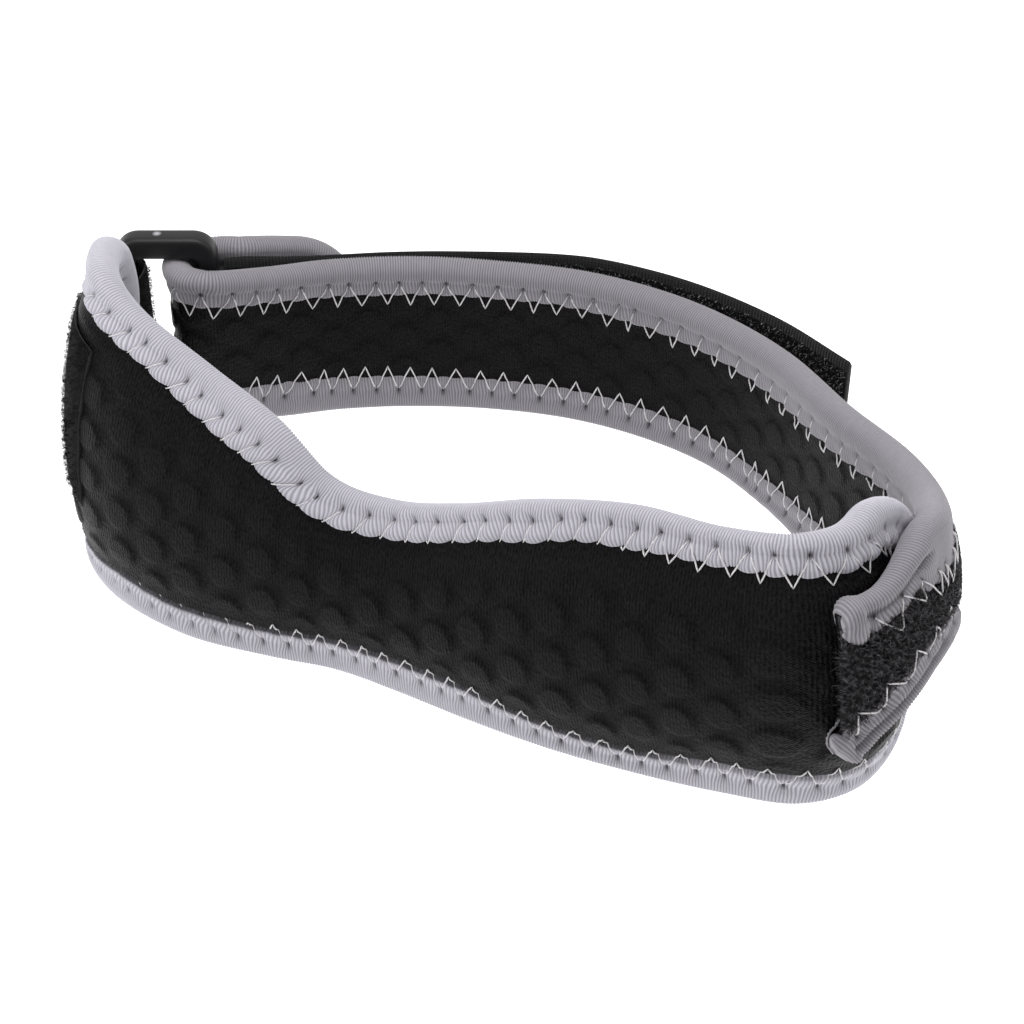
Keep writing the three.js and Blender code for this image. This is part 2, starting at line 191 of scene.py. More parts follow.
class Wall:
    """The middle surface of a wall through upright rows.

    a is the distance along it, and b the height up a row. A kept row holds its foot, the way to its head, the
    bow of its middle and its height.
    """

    def __init__(self, rows, step=0.1, samples=24, share_probe=0.004):
        feet, heads = (np.array([row[k] for row in rows], float) for k in (0, 1))
        bulges = np.array([[row[2], 0, 0] for row in rows], float)
        t = np.linspace(0, 1, samples * len(rows) + 1)
        middle = lambda share: (spline(feet, share) + spline(heads, share)) / 2
        strides = np.linalg.norm(np.diff(middle(t), axis=0), axis=1)
        reach = np.concatenate([[0], np.cumsum(strides)])
        self.length = reach[-1]
        places = np.linspace(0, self.length, int(self.length / step) + 1)
        self.step = places[1]
        share = np.interp(places, reach, t)
        foot, head = spline(feet, share), spline(heads, share)
        along = middle(np.minimum(share + share_probe, 1)) - middle(np.maximum(share - share_probe, 0))
        bow = 4 * spline(bulges, share)[:, :1] * unit(np.cross(along, head - foot))
        tall = np.linalg.norm(head - foot, axis=1, keepdims=True)
        self.table = np.hstack([foot, head - foot, bow, tall])

    def row(self, a):
        place = a / self.step
        i = np.clip(np.floor(place).astype(int), 0, len(self.table) - 2)
        w = (place - i)[..., None]
        return self.table[i] * (1 - w) + self.table[i + 1] * w

    def height(self, a):
        return self.row(np.asarray(a, float))[..., 9]

    def point(self, a, b):
        row = self.row(a)
        v = (b / row[..., 9])[..., None]
        return row[..., 0:3] + row[..., 3:6] * v + row[..., 6:9] * v * (1 - v)

    def normal(self, a, b):
        share = b / self.height(a)
        beside = lambda place: self.point(place, share * self.height(place))
        along = beside(a + PROBE) - beside(a - PROBE)
        return unit(np.cross(along, self.point(a, b + PROBE) - self.point(a, b - PROBE)))

    def lifted(self, a, b, lift):
        a, b, lift = np.broadcast_arrays(np.asarray(a, float), np.asarray(b, float), np.asarray(lift, float))
        return self.point(a, b) + self.normal(a, b) * lift[..., None]

    def from_edge(self, a, b):
        """The distance from the nearer of the lower and upper edges."""
        return np.minimum(b, self.height(a) - b)


def wall_row(foot_x, foot_y, foot_z, head_x, head_y, head_z, bulge):
    """An upright row of a wall: its foot, its head, and how far its middle bows out."""
    return np.array([foot_x, foot_y, foot_z]) + SHIFT, np.array([head_x, head_y, head_z]) + SHIFT, bulge


def panel_row(foot_x, foot_y, *head_and_bulge):
    return wall_row(foot_x, foot_y, STAND_HEIGHT, *head_and_bulge)


def upright_row(x, y, low, high):
    return wall_row(x, y, low, x, y, high, 0)


def beside_row(wall, a, lift, low, high):
    at = lambda share: wall.lifted(a, share * wall.height(a), lift)
    foot, head = at(low), at(high)
    return foot, head, float(np.linalg.norm(at((low + high) / 2) - (foot + head) / 2))


def beside_rows(wall, lift, table):
    """Rows beside a wall, from a table of distance from its end, and lower and upper share of its height."""
    return [beside_row(wall, wall.length - end, lift, low, high) for end, low, high in table]


def half_turn(centre_x, radius, start, end, rows=5):
    angles = np.radians(np.linspace(start, end, rows))
    return [(centre_x + radius * math.cos(t), RING_PLACE[1] + radius * math.sin(t)) for t in angles]


panel = Wall([panel_row(*row) for row in PANEL_TABLE])
bound_half = BAND_THICK / 2 + TAPE_GAP + TAPE_THICK
right_upright = RING_PLACE[0] + RING["along"] / 2 - RING["upright"] / 2
left_upright = RING_PLACE[0] - RING["along"] / 2 + RING["upright"] / 2
slot_half = RING["tall"] / 2 - RING["rail"] - CLEARANCE - TAPE_ROLL
tab_rows = [beside_row(panel, panel.length - end, lift, low, high) for end, lift, low, high in TAB_TABLE]
turn_rows = [
    upright_row(x, y, RING_PLACE[2] - slot_half, RING_PLACE[2] + slot_half)
    for x, y in half_turn(right_upright, BAND_WRAP + bound_half, -90, -270)
]
layer_rows = tab_rows + [wall_row(*row) for row in BAND_TABLE]
inner_layer = Wall(layer_rows + turn_rows[:1])
strap_lift = bound_half + CLEARANCE + STRAP_THICK / 2
flap_lift = strap_lift + STRAP_THICK / 2 + FLAP_LOOSE + bound_half
band = Wall(layer_rows + turn_rows + beside_rows(inner_layer, flap_lift, FLAP_TABLE))
free_rows = [upright_row(x, y, HOOK_FOOT, HOOK_HEAD) for x, y in HOOK_TABLE]
hook = Wall(free_rows + beside_rows(inner_layer, strap_lift, HOOK_LAID))
sewn_lift = PANEL_THICK / 2 + CLEARANCE + STRAP_THICK / 2
wrap_places = half_turn(left_upright, STRAP_WRAP + STRAP_THICK / 2, 0, 180)
pile_rows = [upright_row(*row) for row in PILE_INNER]
pile_rows += [upright_row(x, y, PILE_LOW, PILE_HIGH) for x, y in wrap_places]
pile_rows += [upright_row(*row) for row in PILE_OUTER]
pile_rows += [beside_row(panel, float(a), sewn_lift, SEWN_LOW, SEWN_HIGH) for a in SEWN_PLACES]
pile = Wall(pile_rows)

# Materials
MIX_FIRST, MIX_SECOND, MIX_RESULT = 6, 7, 2  # a mix node's colour sockets


def node(made, kind, **settings):
    new = made.node_tree.nodes.new(kind)
    for key, value in settings.items():
        setattr(new, key, value)
    return new


class Value:
    """A node's output in a material or a world, to which arithmetic adds nodes."""

    def __init__(self, made, socket):
        self.made, self.socket = made, socket

    def to(self, target):
        self.made.node_tree.links.new(self.socket, target)

    def operate(self, operation, other=None):
        new = node(self.made, "ShaderNodeMath", operation=operation)
        self.to(new.inputs[0])
        if isinstance(other, Value):
            other.to(new.inputs[1])
        elif other is not None:
            new.inputs[1].default_value = other
        return Value(self.made, new.outputs[0])

    __add__ = partialmethod(operate, "ADD")
    __sub__ = partialmethod(operate, "SUBTRACT")
    __mul__ = partialmethod(operate, "MULTIPLY")
    sine = partialmethod(operate, "SINE")
    above_zero = partialmethod(operate, "MAXIMUM", 0.0)

    def wave(self, length):
        return (self * (2 * np.pi / length)).sine()

    def split(self):
        new = node(self.made, "ShaderNodeSeparateXYZ")
        self.to(new.inputs[0])
        return [Value(self.made, socket) for socket in new.outputs]

    def with_vector(self, operation, vector, output):
        new = node(self.made, "ShaderNodeVectorMath", operation=operation)
        self.to(new.inputs[0])
        new.inputs[1].default_value = vector
        return Value(self.made, new.outputs[output])

    def noise(self, scale, detail=3.0, stretch=None):
        place = self.with_vector("MULTIPLY", stretch, "Vector") if stretch else self
        new = node(self.made, "ShaderNodeTexNoise")
        new.inputs["Scale"].default_value = scale
        new.inputs["Detail"].default_value = detail
        place.to(new.inputs["Vector"])
        return Value(self.made, new.outputs["Fac"])

    def mix(self, first, second):
        """A mix of two colours, the first of which may be another value."""
        new = node(self.made, "ShaderNodeMix", data_type="RGBA")
        self.to(new.inputs["Factor"])
        if isinstance(first, Value):
            first.to(new.inputs[MIX_FIRST])
        else:
            new.inputs[MIX_FIRST].default_value = (*first, 1)
        new.inputs[MIX_SECOND].default_value = (*second, 1)
        return Value(self.made, new.outputs[MIX_RESULT])

    def bump(self, distance):
        new = node(self.made, "ShaderNodeBump")
        new.inputs["Strength"].default_value = 1.0
        new.inputs["Distance"].default_value = distance
        self.to(new.inputs["Height"])
        return Value(self.made, new.outputs["Normal"])


def material(name, colour, roughness, **sockets):
    """A principled material and its shader's inputs. The name of a socket has _ for each space."""
    made = bpy.data.materials.new(name)
    made.use_nodes = True
    inputs = made.node_tree.nodes["Principled BSDF"].inputs
    inputs["Base Color"].default_value = (*colour, 1)
    inputs["Roughness"].default_value = roughness
    for socket, value in sockets.items():
        inputs[socket.replace("_", " ")].default_value = value
    return made, inputs


def attribute(made, name, output):
    return Value(made, node(made, "ShaderNodeAttribute", attribute_name=name).outputs[output])


def laminate_material():
    wale, course, sway = 0.62, 0.5, 4.0  # spacing of the knit's columns and rows, and the columns' sway
    made, inputs = material("embossed_laminate", (0.003, 0.003, 0.0033), 0.42, Specular_IOR_Level=0.08)
    place = attribute(made, "cloth", "Vector")
    along, up, _ = place.split()
    wander = place.noise(1.0, stretch=(0.25, 0.06, 0))
    wales = (along * (2 * np.pi / wale) + wander * sway).sine()
    knit = wales * (up.wave(course) * 0.45 + 0.55)
    grain = place.noise(1.0, detail=4.0, stretch=(2.4, 1.3, 1)) - 0.5
    tone = knit * 0.26 + grain * 1.9
    bright = (tone + 0.3).above_zero()
    bright.mix((0.0002, 0.0002, 0.0002), (0.0138, 0.0124, 0.0144)).to(inputs["Base Color"])
    tone.bump(0.00034).to(inputs["Normal"])
    return made


def tape_material(name, dark, light):
    made, inputs = material(name, light, 0.92, Sheen_Weight=0.18, Sheen_Roughness=0.5, Specular_IOR_Level=0.2)
    place = attribute(made, "cloth", "Vector")
    strands = place.noise(1.0, detail=5.0, stretch=(2.5, 0.5, 1)) - 0.5
    # The shade attribute is painted shade: needle holes, notches, the tab's crease, rib grooves, the tucked
    # edge and the shadow under the cloth's lip
    tone = attribute(made, "shade", "Fac") + strands * 0.22
    tone.mix(dark, light).to(inputs["Base Color"])
    place.noise(1.5, detail=5.0, stretch=(3, 1.2, 1)).bump(0.00012).to(inputs["Normal"])
    return made


def thread_material():
    made, inputs = material("thread", (0.72, 0.70, 0.71), 0.6, Sheen_Weight=0.1)
    twist = (attribute(made, "cloth", "Vector").noise(3.0) * 20.0).sine()
    twist.mix((0.6, 0.585, 0.6), (0.8, 0.785, 0.79)).to(inputs["Base Color"])
    return made


def pile_material(name, dark, light, roughness, specular=0.3):
    made, inputs = material(name, dark, roughness, Specular_IOR_Level=specular)
    place = attribute(made, "cloth", "Vector")
    clumps = (place.noise(1.3, detail=5.0) - 0.44) * 4.0
    clumps.mix(dark, light).to(inputs["Base Color"])
    place.noise(2.5, detail=6.0).bump(0.0003).to(inputs["Normal"])
    return made


def weave_material():
    rib, pick = 0.8, 0.5  # spacing of the weave's ribs along the strap and its picks across
    sockets = {"Sheen_Weight": 0.1, "Specular_IOR_Level": 0.3}
    made, inputs = material("strap_weave", (0.012, 0.012, 0.013), 0.8, **sockets)
    place = attribute(made, "cloth", "Vector")
    along, up, _ = place.split()
    weave = along.wave(rib) + up.wave(pick) * 0.5
    tone = weave * 0.25 + place.noise(1.5, detail=5.0)
    tone.mix((0.006, 0.006, 0.007), (0.02, 0.02, 0.021)).to(inputs["Base Color"])
    weave.bump(0.0001).to(inputs["Normal"])
    return made


def plastic_material():
    made, inputs = material("moulded_plastic", (0.01, 0.01, 0.011), 0.42, Specular_IOR_Level=0.35)
    place = Value(made, node(made, "ShaderNodeTexCoord").outputs["Object"])
    tone = place.noise(160.0).mix((0.006, 0.006, 0.0065), (0.011, 0.011, 0.012))
    away = place.with_vector("DISTANCE", (RING_MARK + SHIFT) / 1000, "Value")
    near = (away * (-1000 / MARK_RADIUS) + 1.0).above_zero()
    near.mix(tone, (0.5, 0.5, 0.52)).to(inputs["Base Color"])
    (place.noise(90.0) * 0.14 + 0.34).to(inputs["Roughness"])
    place.noise(2500.0, detail=4.0).bump(0.00004).to(inputs["Normal"])
    return made


LAMINATE = laminate_material()
FRONT_TAPE = tape_material("front_knit_tape", (0.02, 0.019, 0.022), (0.595, 0.578, 0.645))
# The same tape as the front, made darker: painted shade for the back band's binding
SHADED_BACK_TAPE = tape_material("back_knit_tape_shaded", (0.015, 0.014, 0.016), (0.345, 0.33, 0.362))
STITCH = thread_material()
PILE = pile_material("loop_pile", (0.001, 0.0009, 0.0012), (0.13, 0.122, 0.134), 0.7)
STRAP_PILE = pile_material("strap_loop_pile", (0.0008, 0.0008, 0.001), (0.01, 0.0095, 0.0105), 0.8, 0.1)
# Black hook plastic. Its paler random clumps are partly painted glints.
HOOKS = pile_material("hook_plastic", (0.006, 0.006, 0.0065), (0.3, 0.3, 0.31), 0.14)
HOOK_BED = pile_material("hook_bed", (0.002, 0.002, 0.0022), (0.006, 0.006, 0.0063), 0.8)
WEAVE = weave_material()
PLASTIC = plastic_material()


# Meshes
def quads(rows, columns, wrap_rows=False, wrap_columns=False):
    """The faces of a grid of points, closed on itself or open each way."""
    i, j = np.indices((rows - (not wrap_rows), columns - (not wrap_columns)))
    i2, j2 = (i + 1) % rows, (j + 1) % columns
    corners = (i * columns + j, i2 * columns + j, i2 * columns + j2, i * columns + j2)
    return np.stack(corners, -1).reshape(-1, 4)


def added(name, data):
    obj = bpy.data.objects.new(name, data)
    bpy.context.scene.collection.objects.link(obj)
    return obj


def piece(name, points, faces, materials, slot, cloth=None, shade=None, face_materials=None, outward=True):
    """A smooth mesh object that rides on the part's body."""
    points = points.reshape(-1, 3) / 1000
    mesh = bpy.data.meshes.new(name)
    mesh.from_pydata(points.tolist(), [], faces.tolist())
    if outward:
        work = bmesh.new()
        work.from_mesh(mesh)
        bmesh.ops.recalc_face_normals(work, faces=work.faces)
        work.to_mesh(mesh)
        work.free()
    kept = (("cloth", "FLOAT_VECTOR", "vector", cloth), ("shade", "FLOAT", "value", shade))
    for label, kind, field, values in kept:
        if values is not None:
            mesh.attributes.new(label, kind, "POINT").data.foreach_set(field, values.astype(float).ravel())
    for one in materials:
        mesh.materials.append(one)
    if face_materials is not None:
        mesh.polygons.foreach_set("material_index", face_materials.astype(np.int32))
    mesh.polygons.foreach_set("use_smooth", np.ones(len(mesh.polygons), bool))
    obj = added(name, mesh)
    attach(obj, "root")
    return obj


def discs(a, b):
    """How far the embossed discs stand out at places on a cloth, from 0 to 1."""
    column = np.round(a / DISC_ACROSS)
    stagger = np.where(column % 2 == 0, 0, DISC_UP / 2)
    row = np.round((b - stagger) / DISC_UP)
    far = np.hypot(a - column * DISC_ACROSS, b - stagger - row * DISC_UP)
    return smooth((DISC_RADIUS - far) / DISC_EDGE)


def corner_cut(wall, a, start, end):
    def cut(radius, distance):
        short = np.maximum(radius - distance, 0)
        return radius - np.sqrt(np.maximum(radius * radius - short * short, 0))

    return np.maximum(cut(start, a), cut(end, wall.length - a))


def padded_body(wall, a, shares, start, end, outer_lift, inner_lift):
    """A closed padded body: points, faces, cloth places, and the share up each face, below 0 inside."""
    columns, count = len(a), len(shares)
    cut = corner_cut(wall, a, start, end)
    tall = wall.height(a) - 2 * cut
    b = cut[:, None] + tall[:, None] * shares[None, :]
    aa = np.repeat(a[:, None], count, 1)
    outer = wall.lifted(aa, b, outer_lift(aa, b))
    inner = wall.lifted(aa, b, -inner_lift(aa, b))
    points = np.concatenate([outer, inner[:, ::-1]], 1)
    points[..., 2] = np.maximum(points[..., 2], CLOTH_FLOOR)
    around = 2 * count
    faces = quads(columns, around, wrap_columns=True)
    j = np.arange(count - 1)
    first = np.stack([j, j + 1, around - 2 - j, around - 1 - j], 1)
    faces = np.vstack([faces, first, first + (columns - 1) * around])
    both_a, both_b = np.concatenate([aa, aa], 1), np.concatenate([b, b[:, ::-1]], 1)
    cloth = np.stack([both_a, both_b, np.zeros_like(both_a)], -1)
    up = np.concatenate([shares[1:], [0], -shares[:0:-1], [0]])
    side = np.concatenate([np.tile(up, columns - 1), np.zeros(2 * (count - 1))])
    return points, faces, cloth, side


class Edge:
    """A bound edge: a route along a wall's outline, with the way into the wall at each place."""

    def __init__(self, wall, a, b, step=0.25, reach=4):
        self.wall = wall
        points = wall.point(a, b)
        run = np.concatenate([[0], np.cumsum(np.linalg.norm(np.diff(points, axis=0), axis=1))])
        self.length = run[-1]
        self.s = np.linspace(0, self.length, int(self.length / step))
        self.a, self.b = np.interp(self.s, run, a), np.interp(self.s, run, b)
        points = wall.point(self.a, self.b)
        i = np.arange(len(self.s))
        ahead, back = np.minimum(i + reach, len(i) - 1), np.maximum(i - reach, 0)
        self.tangent = unit(points[ahead] - points[back])
        self.inward = unit(np.cross(wall.normal(self.a, self.b), self.tangent))
        # How much a and b change for each millimetre inward
        by_a = wall.point(self.a + PROBE, self.b) - wall.point(self.a - PROBE, self.b)
        by_b = wall.point(self.a, self.b + PROBE) - wall.point(self.a, self.b - PROBE)
        dot = lambda p, q: np.sum(p * q, axis=1)
        aa, ab, bb = dot(by_a, by_a), dot(by_a, by_b), dot(by_b, by_b)
        ra, rb = dot(by_a, self.inward), dot(by_b, self.inward)
        det = aa * bb - ab * ab
        self.step_a, self.step_b = (bb * ra - ab * rb) / det, (aa * rb - ab * ra) / det

    def at(self, s, values):
        if values.ndim == 1:
            return np.interp(s, self.s, values)
        return np.stack([np.interp(s, self.s, values[:, k]) for k in range(values.shape[1])], -1)

    def places(self, s, depth):
        inside = np.maximum(depth, 0)
        return (self.at(s, self.a) + self.at(s, self.step_a) * inside,
                self.at(s, self.b) + self.at(s, self.step_b) * inside)

    def lifted(self, s, depth, lift):
        s, depth, lift = np.broadcast_arrays(s, depth, lift)
        a, b = self.places(s, depth)
        points = self.wall.lifted(a, b, lift) - self.at(s, self.inward) * np.maximum(-depth, 0)[..., None]
        points += self.at(s, self.tangent) * (s - np.clip(s, 0, self.length))[..., None]
        points[..., 2] = np.maximum(points[..., 2], TAPE_FLOOR)
        return points


# The tape's relief: each form's height, and its width for each gap that form is given
VALLEY = (-0.12, 0.9)  # along the needle holes
HOLE = (-0.26, 0.5, 0.5)
PULL = (-0.2, 1.4, 1.6)  # round a hole
LEG = (1, 0.45)  # under a thread
PUFF = (1, 1.2)  # between stitches
FOLD = (1, 0.6)
GROOVE = 0.24
LOBE, LOBE_SINGLE = 0.16, 0.1  # a puff's height, and more where one leg shows
EDGE_LOW, EDGE_RISE, ROLL_RISE = 0.25, 0.55, 0.55  # at the flap's edge, from there, and towards the roll
LEAST_RELIEF = 0.12
TUCK_PAST, TUCK_UNDER, TUCK_SHADE = 0.1, 0.5, 0.35  # the flap's cut edge, turned under
RIM_DROP, RIM_RIB = 0.1, 0.6  # the flap's last row: its drop, and its share of the ribs' height
FLAP_LEAST = 0.4  # left of a narrow flap beside its stitches
ROLL_THIN = 0.6  # share of the roll that stays where the tape isn't plump
FACE_STAND = 1.1  # how far the tape's face stands off the cloth

# The tape's painted shade in its needle holes, round them, at the notches and in the tab's crease: each
# form's darkness and widths, likewise
HOLE_DARK = (1, 0.58, 0.5)
SOFT_DARK = (0.16, 0.9, 0.8)  # round a hole
PINCH_DARK = (0.25, 0.5)  # where a thread crosses the flap's edge
FOLD_DARK = (0.7, 0.45)
DARKEST = 0.97

# The thread: its middle above the tape as a share of its radius, its depth in the holes and under the tape
THREAD_UP, THREAD_SINK, THREAD_HIDE = 0.6, 0.5, 1.1


def form(size, *gaps):
    """A bell shape of this height and these widths, at gaps from its middle."""
    return size[0] * np.exp(-sum((gap / wide) ** 2 for gap, wide in zip(gaps, size[1:])))


def stitch_places(length, pitch, wander=0.09):
    """Where the needle went in, along an edge: evenly spaced with a little wander."""
    count = max(int(round(length / pitch)), 4)
    places = np.arange(count + 1) * length / count
    places[1:-1] += rng.normal(0, wander, count - 1) * pitch
    return places


class Tape:
    """Binding tape on an edge: its flaps' widths along the edge, and how it is sewn on each face."""

    def __init__(self, edge, half, roll, pitch, faces, plump, ends=None):
        self.edge, self.half, self.roll, self.faces, self.ends = edge, half, roll, faces, ends
        self.plump = plump
        self.stitches = stitch_places(edge.length, pitch)
        self.pitch = edge.length / (len(self.stitches) - 1)

    def phase(self, s):
        return np.interp(s, self.stitches, np.arange(len(self.stitches)))

    def cap(self, face, s):
        """How round and full the folded-over end of an open tape is, and how much deeper it reaches."""
        full, deep = np.zeros_like(s), np.zeros_like(s)
        for distance, end in zip((s, self.edge.length - s), self.ends or ()):
            share = np.clip((distance + CAP_PAST) / (end["long"] + CAP_PAST), 0, 1)
            round_off = np.sqrt(np.maximum(1 - (2 * share - 1) ** 2, 0))
            full, deep = full + round_off, deep + end["deep"][face] * round_off
        return np.minimum(full, 1), deep

    def base(self, face, s):
        return self.faces[face]["flap"](s) + self.cap(face, s)[1]

    def width(self, face, s):
        free = 1 - self.cap(face, s)[0]
        return self.base(face, s) + self.faces[face]["scallop"] * np.cos(2 * np.pi * self.phase(s)) * free

    def surface(self, face, s, depth):
        """One face: the tape's lift off the wall's middle, its painted shade, and its pull along the edge."""
        sewn = self.faces[face]
        base, width = self.base(face, s), self.width(face, s)
        full, plump = self.cap(face, s)[0], self.plump(s)
        single, fold = sewn["single"](s), sewn["crease"](s)
        needle = base - sewn["needle"](s)
        share = np.clip((depth - needle) / (sewn["needle"](s) + sewn["tip"](s)), 0, 1)
        lean = share * sewn["lean"](s) / 2
        phase = self.phase(s)
        gap = lambda offset: (phase - offset - np.round(phase - offset)) * self.pitch
        hole, leg, other_leg = (gap(0), depth - needle), gap(lean), gap(-lean)

        edge = ease(width - depth, start=0, wide=1.1) * EDGE_RISE + EDGE_LOW
        rise = ease(needle - depth, start=0, wide=np.maximum(needle - 1.2, 0.8)) * ROLL_RISE
        round_off = (edge + rise) * plump
        legs = form(LEG, leg) + (1 - single) * form(LEG, other_leg)
        groove = -GROOVE * legs * ease(depth, start=needle - 0.6, wide=0.6)
        lobe = (LOBE + LOBE_SINGLE * single) * np.cos(2 * np.pi * phase)
        puff = lobe * form(PUFF, depth - base + 1.2)
        pressed = round_off + form(VALLEY, depth - needle) + form(HOLE, *hole) + form(PULL, *hole)
        sewn_down = pressed + groove + puff
        rest = np.maximum(sewn_down * (1 - fold * form(FOLD, depth - CREASE)), LEAST_RELIEF)
        bulge = CAP_RISE * full * ease(width - depth, start=0, wide=3.0)
        lift = self.half + rest * (1 - full) + round_off * full + bulge

        # Painted shade in and round the needle holes, at the notches and in the tab's crease
        pinch = form(PINCH_DARK, leg) * ease(depth, start=base - 1.6, wide=1.6)
        # Painted shadow under the cloth's lip, along the flap's edge
        seam = sewn["seam"](s) * ease(depth, start=width - 1.4, wide=0.35)
        dark = sewn["dark"] * form(HOLE_DARK, *hole) + form(SOFT_DARK, *hole) + pinch
        dark = dark + fold * form(FOLD_DARK, depth - CREASE)
        shade = 1 - np.minimum(dark * (1 - full) + seam, DARKEST)

        grip = sewn["pull"](s) * ease(depth, start=needle - 2.5, wide=2.5)
        pulled = -grip * self.pitch / (2 * np.pi) * np.sin(2 * np.pi * (phase - lean))
        return lift, shade, pulled

    def flap_columns(self, face, sign, s):
        """A flap from its cut edge to the roll: columns of depth, lift, painted shade, share of the ribs and
        pull.
        """
        width, across = self.width(face, s), self.faces[face]["across"]
        # The cut edge turned under the flap, in painted shade
        columns = [(width + TUCK_PAST, sign * (self.half - TUCK_UNDER), TUCK_SHADE, 0.0, 0.0)]
        fit = np.minimum(1, (width - FLAP_LEAST) / across[-1])
        depths = [width] + [width - off * fit for off in across]
        depths += [(width - across[-1] * fit) * share for share in self.faces[face]["near"]]
        for k, depth in enumerate(depths):
            drop, rib = (RIM_DROP, RIM_RIB) if k == 0 else (0, 1.0)
            lift, shade, pulled = self.surface(face, s, depth)
            columns.append((depth, sign * (lift - drop), shade, rib, pulled))
        return columns

    def mesh(self, roll_steps=10):
        """Points, depths, lifts and painted shade of the folded tape, and its stations along the edge."""
        closed = self.ends is None
        past = 0 if closed else CAP_PAST
        count = 2 * int(self.edge.length / RIB)
        stations = np.linspace(-past, self.edge.length + past, count, endpoint=not closed)
        ridge = np.where(np.arange(count) % 2 == 0, 1.0, -1.0)[:, None]
        s = stations[:, None]
        columns = self.flap_columns(0, 1, s)
        tops = [self.surface(face, s, np.zeros_like(s))[0] for face in (0, 1)]
        round_off = self.roll * (ROLL_THIN + (1 - ROLL_THIN) * self.plump(s))
        for angle in np.radians(np.linspace(0, 180, roll_steps)[1:-1]):
            top = tops[0] if math.cos(angle) > 0 else tops[1]
            columns.append((-round_off * math.sin(angle), top * math.cos(angle), 1.0, 1.0, 0.0))
        columns += reversed(self.flap_columns(1, -1, s))
        depth, lift, shade, rib, pulled = (
            np.hstack([np.broadcast_to(column[k], s.shape) for column in columns]) for k in range(5))
        around = unit(np.stack([-np.minimum(depth, 0) / self.roll, lift / (self.half + FACE_STAND)], -1))
        height = RIB_HEIGHT * rib * ridge
        depth = depth - height * around[..., 0] * (depth < 0)
        lift = lift + height * around[..., 1]
        if not closed:
            off = np.clip((np.minimum(s, self.edge.length - s) + past) / CAP_CLOSE, 0, 1)
            closing = np.sqrt(1 - (1 - off) ** 2)
            middle = (np.max(depth, axis=1, keepdims=True) + np.min(depth, axis=1, keepdims=True)) / 2
            lift, depth = lift * closing, middle + (depth - middle) * closing
        # Painted shade in the grooves between the knit's ribs
        shade = shade * (1 + RIB_SHADE * rib * np.minimum(ridge, 0))
        points = self.edge.lifted(s + pulled, depth, lift)
        return points, depth, lift, shade, stations


def zigzag(tape, face, sign, under, steps=9, wander=0.22):
    """The thread of one face's zigzag, as a tube along the stitches."""
    sewn = tape.faces[face]
    count = len(tape.stitches) - 1
    phase = np.arange(2 * count * steps + 1) / (2 * steps)
    turn = phase - np.floor(phase)
    s = np.interp(phase, np.arange(count + 1), tape.stitches)
    share = 1 - np.abs(2 * turn - 1)
    uneven = np.interp(phase, np.arange(count + 1), rng.normal(0, wander, count + 1))
    needle = tape.base(face, s) - sewn["needle"](s)
    depth = needle + (sewn["needle"](s) + sewn["tip"](s) + uneven) * share
    width = tape.width(face, s)
    on_tape = tape.surface(face, s, np.minimum(depth, width - 0.05))[0]
    over = ease(depth, start=width - 0.5, wide=0.9)
    lift = np.maximum(on_tape * (1 - over) + tape.half * over, under(*tape.edge.places(s, depth)))
    sink = form((1, 0.1), share) + form((0.35, 0.05), share - 1)
    hidden = sewn["single"](s) * smooth((turn - 0.5) * sewn["lean"](s) / 0.06) * (1 - over * (share < 0.97))
    lift = lift + THREAD * THREAD_UP - THREAD_SINK * sink - THREAD_HIDE * hidden
    skip = 0 if tape.ends is None else 2 * steps
    path = tape.edge.lifted(s, depth, sign * lift)
    return tube(path[skip:len(path) - skip], THREAD, sides=5)


ASIDE = np.array([0.13, 0.21, 0.97])  # a direction that no thread follows


def tube(path, radius, sides):
    """A tube along a path: its points and faces."""
    tangent = unit(np.gradient(path, axis=0))
    side = unit(np.cross(tangent, ASIDE))
    other = np.cross(tangent, side)
    angles = 2 * np.pi * np.arange(sides) / sides
    ring = side[:, None] * np.cos(angles)[None, :, None] + other[:, None] * np.sin(angles)[None, :, None]
    points = path[:, None] + radius * ring
    return points.reshape(-1, 3), quads(len(path), sides, wrap_columns=True)


def joined(parts):
    points, faces, start = [], [], 0
    for p, f in parts:
        points.append(p)
        faces.append(f + start)
        start += len(p)
    return np.vstack(points), np.vstack(faces)


def fibres(wall, a, b, sign, lift, tall, reach, width, root_deep=0.25):
    """Small curled fibres standing on a wall's face: points and faces of their ribbons."""
    count = len(a)
    root = wall.lifted(a, b, sign * lift)
    up = sign * wall.normal(a, b)
    lean = unit(rng.normal(size=(count, 3)))
    lean = unit(lean - up * np.sum(lean * up, 1, keepdims=True))
    tall = tall * rng.uniform(0.45, 1.15, (count, 1))
    reach = reach * rng.uniform(0.4, 1.3, (count, 1))
    curl = lean + np.cross(up, lean) * rng.normal(0, 0.5, (count, 1))
    path = np.stack([root - root_deep * up,
                     root + up * tall * 0.7 + lean * reach * 0.12,
                     root + up * tall + curl * reach * 0.55,
                     root + up * tall * 0.62 + curl * reach], 1)
    side = unit(np.cross(up, lean) + rng.normal(0, 0.4, (count, 3))) * (width / 2)
    taper = np.array([1, 1, 0.9, 0.5])[None, :, None]
    ribbon = np.stack([path - side[:, None] * taper, path + side[:, None] * taper], 2)
    rows = path.shape[1]
    base = (2 * rows * np.arange(count))[:, None, None]
    k = 2 * np.arange(rows - 1)[None, :, None]
    faces = base + k + np.array([0, 1, 3, 2])[None, None, :]
    return ribbon.reshape(-1, 3), faces.reshape(-1, 4)


def table_at(a, table):
    """The value at places a, from a table of places and values."""
    return np.interp(a, *zip(*table))


